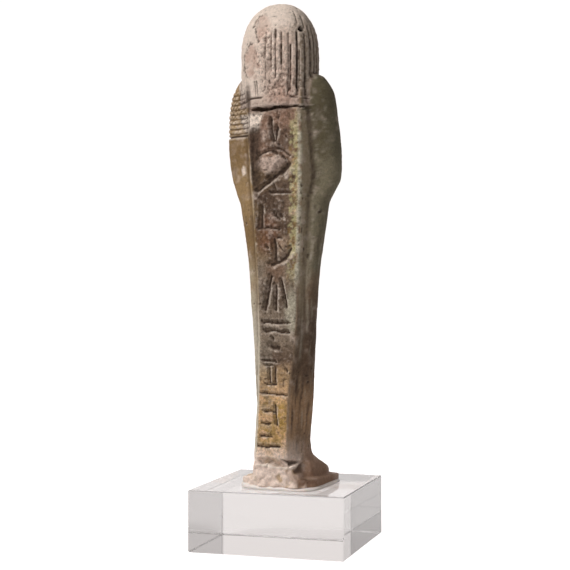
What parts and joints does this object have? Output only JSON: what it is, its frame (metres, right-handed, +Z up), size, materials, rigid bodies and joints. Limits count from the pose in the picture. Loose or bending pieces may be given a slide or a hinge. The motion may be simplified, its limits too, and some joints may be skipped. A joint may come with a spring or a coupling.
{
  "type": "ushabti figurine on a display block",
  "caption": "Mummy-shaped funerary figurine with a striated headcloth and an inscribed back pillar, fixed upright on a clear acrylic block.",
  "frame": {"origin": "centre of the block's underside, on the surface that it stands on", "axes": "+Z up along the figurine, -Y towards the figurine's front, X and Y along the block's sides"},
  "size_m": [0.079, 0.079, 0.2702],
  "materials": {
    "worn_faience": "matt, weathered and sandy, with remains of green glaze",
    "adhesive": "translucent, smooth",
    "clear_acrylic": "clear, polished"
  },
  "bodies": {
    "root": {"figurine": "worn_faience", "adhesive_bed": "adhesive", "acrylic_block": "clear_acrylic"}
  },
  "joints": []
}
